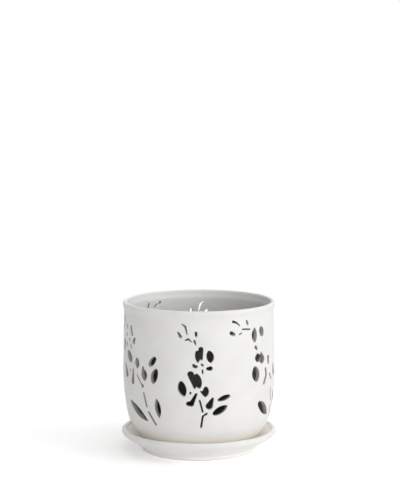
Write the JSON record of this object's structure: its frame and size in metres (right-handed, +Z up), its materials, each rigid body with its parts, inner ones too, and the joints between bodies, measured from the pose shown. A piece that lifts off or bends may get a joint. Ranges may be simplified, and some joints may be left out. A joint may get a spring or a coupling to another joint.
{
  "type": "orchid pot",
  "caption": "Round white glazed ceramic orchid pot with flower sprays cut through its wall, standing in a matching saucer, with a dark plastic grow pot that lifts out.",
  "frame": {"origin": "centre of the saucer's foot ring, on the surface that it stands on", "axes": "+Z up along the pot's axis; -Y is the side that the picture shows, with its middle spray facing it"},
  "size_m": [0.155, 0.155, 0.1502],
  "materials": {
    "white_glaze": "satin white glaze",
    "dark_plastic": "moulded, slightly satin"
  },
  "bodies": {
    "saucer": {"saucer": "white_glaze"},
    "pot": {"pot": "white_glaze"},
    "grow_pot": {"grow_pot": "dark_plastic"}
  },
  "joints": [
    {"name": "pot_lift", "type": "slide", "parent": "saucer", "child": "pot", "axis": [0, 0, 1], "range_m": [0, 0.06]},
    {"name": "grow_pot_lift", "type": "slide", "parent": "pot", "child": "grow_pot", "axis": [0, 0, 1], "range_m": [0, 0.16]}
  ]
}
